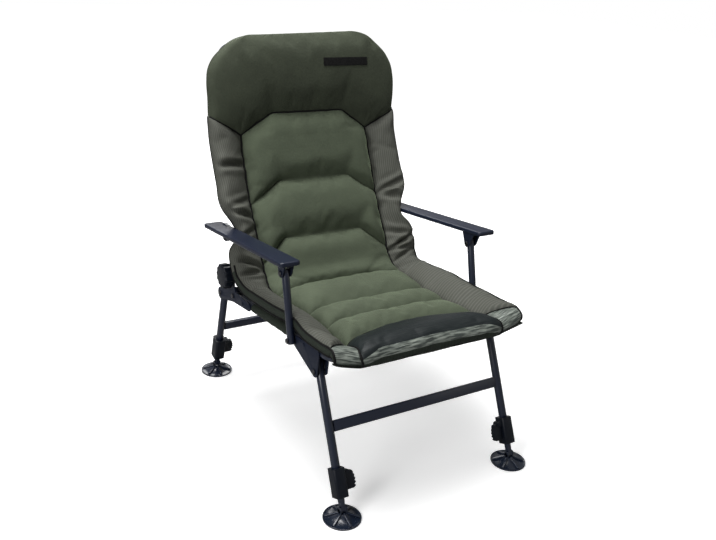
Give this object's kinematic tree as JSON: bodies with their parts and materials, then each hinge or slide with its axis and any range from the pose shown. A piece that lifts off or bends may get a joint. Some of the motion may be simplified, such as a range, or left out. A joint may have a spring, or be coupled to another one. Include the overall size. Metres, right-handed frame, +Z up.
{
  "type": "folding recliner fishing chair",
  "caption": "Low folding recliner chair with a padded seat and back, linked armrests, clamp knobs and telescopic legs on swivelling mud feet.",
  "frame": {"origin": "on the ground, under the middle of the chair's bounding box", "axes": "+Z up, -Y the way the sitter faces, +X to the sitter's left. In node names, left is -X, the left of someone who looks at the chair from in front"},
  "size_m": [0.612, 0.8496, 0.967],
  "materials": {
    "frame_steel": "satin blue-black paint",
    "bolt_steel": "blackened zinc",
    "black_plastic": "fine-grained black",
    "arm_plastic": "smooth blue-black",
    "foot_plastic": "gloss black",
    "padding": "olive-green fleece with a woven border",
    "webbing": "dark woven cloth"
  },
  "bodies": {
    "seat": {"seat_front_tube": "frame_steel", "seat_rear_tube": "frame_steel", "seat_rail_left": "frame_steel", "front_bracket_left": "frame_steel", "hinge_plate_left": "frame_steel", "rear_bracket_left": "frame_steel", "front_leg_bolt_left": "bolt_steel", "rear_leg_bolt_left": "bolt_steel", "back_pivot_bolt_left": "bolt_steel", "post_bolt_left": "bolt_steel", "seat_rail_right": "frame_steel", "front_bracket_right": "frame_steel", "hinge_plate_right": "frame_steel", "rear_bracket_right": "frame_steel", "front_leg_bolt_right": "bolt_steel", "rear_leg_bolt_right": "bolt_steel", "back_pivot_bolt_right": "bolt_steel", "post_bolt_right": "bolt_steel", "seat_cushion": "padding", "seat_sling": "webbing"},
    "backrest": {"back_tube_left": "frame_steel", "back_tube_right": "frame_steel", "back_top_tube": "frame_steel", "back_cross_tube": "frame_steel", "back_sling": "webbing", "back_cushion": "padding"},
    "front_legs": {"front_leg_left": "frame_steel", "front_leg_right": "frame_steel", "front_crossbar": "frame_steel", "front_lock_left": "black_plastic", "front_lock_right": "black_plastic"},
    "rear_legs": {"rear_leg_left": "frame_steel", "rear_leg_right": "frame_steel", "rear_crossbar": "frame_steel", "rear_lock_left": "black_plastic", "rear_lock_right": "black_plastic"},
    "arm_left": {"armrest_left": "arm_plastic", "arm_bracket_left": "frame_steel", "arm_front_bolt_left": "bolt_steel", "arm_rear_bolt_left": "bolt_steel"},
    "post_left": {"arm_post_left": "frame_steel"},
    "clamp_knob_left": {"knob_left": "black_plastic"},
    "front_cam_left": {"front_lever_left": "black_plastic"},
    "front_extension_left": {"front_inner_leg_left": "frame_steel"},
    "front_dish_left": {"front_foot_left": "foot_plastic"},
    "rear_cam_left": {"rear_lever_left": "black_plastic"},
    "rear_extension_left": {"rear_inner_leg_left": "frame_steel"},
    "rear_dish_left": {"rear_foot_left": "foot_plastic"},
    "arm_right": {"armrest_right": "arm_plastic", "arm_bracket_right": "frame_steel", "arm_front_bolt_right": "bolt_steel", "arm_rear_bolt_right": "bolt_steel"},
    "post_right": {"arm_post_right": "frame_steel"},
    "clamp_knob_right": {"knob_right": "black_plastic"},
    "front_cam_right": {"front_lever_right": "black_plastic"},
    "front_extension_right": {"front_inner_leg_right": "frame_steel"},
    "front_dish_right": {"front_foot_right": "foot_plastic"},
    "rear_cam_right": {"rear_lever_right": "black_plastic"},
    "rear_extension_right": {"rear_inner_leg_right": "frame_steel"},
    "rear_dish_right": {"rear_foot_right": "foot_plastic"}
  },
  "joints": [
    {"name": "backrest_recline", "type": "hinge", "parent": "seat", "child": "backrest", "pos_m": [0, 0.21247, 0.305], "axis": [-1, 0, 0], "range_deg": [-66, 35], "deforming": ["back_cushion"]},
    {"name": "post_left_swing", "type": "hinge", "parent": "seat", "child": "post_left", "pos_m": [-0.2686, -0.14603, 0.343], "axis": [-1, 0, 0], "range_deg": [-66.5, 35.5]},
    {"name": "arm_left_level", "type": "hinge", "parent": "backrest", "child": "arm_left", "pos_m": [-0.2578, 0.25247, 0.458], "axis": [-1, 0, 0], "range_deg": [-35.5, 66.5]},
    {"name": "knob_left_turn", "type": "hinge", "parent": "backrest", "child": "clamp_knob_left", "pos_m": [-0.275, 0.22688, 0.36015], "axis": [-1, 0, 0], "continuous": true},
    {"name": "post_right_swing", "type": "hinge", "parent": "seat", "child": "post_right", "pos_m": [0.2686, -0.14603, 0.343], "axis": [-1, 0, 0], "range_deg": [-66.5, 35.5]},
    {"name": "arm_right_level", "type": "hinge", "parent": "backrest", "child": "arm_right", "pos_m": [0.2578, 0.25247, 0.458], "axis": [-1, 0, 0], "range_deg": [-35.5, 66.5]},
    {"name": "knob_right_turn", "type": "hinge", "parent": "backrest", "child": "clamp_knob_right", "pos_m": [0.275, 0.22688, 0.36015], "axis": [1, 0, 0], "continuous": true},
    {"name": "front_legs_fold", "type": "hinge", "parent": "seat", "child": "front_legs", "pos_m": [0, -0.24453, 0.308], "axis": [1, 0, 0], "range_deg": [0, 100]},
    {"name": "front_leg_left_extend", "type": "slide", "parent": "front_legs", "child": "front_extension_left", "axis": [0, -0.4293, -0.9032], "range_m": [0, 0.1]},
    {"name": "front_foot_left_tilt", "type": "hinge", "parent": "front_extension_left", "child": "front_dish_left", "pos_m": [-0.245, -0.37953, 0.024], "axis": [1, 0, 0], "range_deg": [-30, 30]},
    {"name": "front_lever_left_open", "type": "hinge", "parent": "front_legs", "child": "front_cam_left", "pos_m": [-0.223, -0.34476, 0.09716], "axis": [0, -0.9032, 0.4293], "range_deg": [0, 100]},
    {"name": "front_leg_right_extend", "type": "slide", "parent": "front_legs", "child": "front_extension_right", "axis": [0, -0.4293, -0.9032], "range_m": [0, 0.1]},
    {"name": "front_foot_right_tilt", "type": "hinge", "parent": "front_extension_right", "child": "front_dish_right", "pos_m": [0.245, -0.37953, 0.024], "axis": [1, 0, 0], "range_deg": [-30, 30]},
    {"name": "front_lever_right_open", "type": "hinge", "parent": "front_legs", "child": "front_cam_right", "pos_m": [0.223, -0.34476, 0.09716], "axis": [0, 0.9032, -0.4293], "range_deg": [0, 100]},
    {"name": "rear_legs_fold", "type": "hinge", "parent": "seat", "child": "rear_legs", "pos_m": [0, 0.30047, 0.278], "axis": [1, 0, 0], "range_deg": [-84, 0]},
    {"name": "rear_leg_left_extend", "type": "slide", "parent": "rear_legs", "child": "rear_extension_left", "axis": [0, 0.2335, -0.9724], "range_m": [0, 0.1]},
    {"name": "rear_foot_left_tilt", "type": "hinge", "parent": "rear_extension_left", "child": "rear_dish_left", "pos_m": [-0.245, 0.36147, 0.024], "axis": [1, 0, 0], "range_deg": [-30, 30]},
    {"name": "rear_lever_left_open", "type": "hinge", "parent": "rear_legs", "child": "rear_cam_left", "pos_m": [-0.223, 0.34255, 0.10276], "axis": [0, -0.9724, -0.2335], "range_deg": [0, 100]},
    {"name": "rear_leg_right_extend", "type": "slide", "parent": "rear_legs", "child": "rear_extension_right", "axis": [0, 0.2335, -0.9724], "range_m": [0, 0.1]},
    {"name": "rear_foot_right_tilt", "type": "hinge", "parent": "rear_extension_right", "child": "rear_dish_right", "pos_m": [0.245, 0.36147, 0.024], "axis": [1, 0, 0], "range_deg": [-30, 30]},
    {"name": "rear_lever_right_open", "type": "hinge", "parent": "rear_legs", "child": "rear_cam_right", "pos_m": [0.223, 0.34255, 0.10276], "axis": [0, 0.9724, 0.2335], "range_deg": [0, 100]}
  ],
  "couplings": [
    {"joint": "post_left_swing", "follows": "backrest_recline", "ratio": 1},
    {"joint": "arm_left_level", "follows": "backrest_recline", "ratio": -1},
    {"joint": "post_right_swing", "follows": "backrest_recline", "ratio": 1},
    {"joint": "arm_right_level", "follows": "backrest_recline", "ratio": -1}
  ]
}
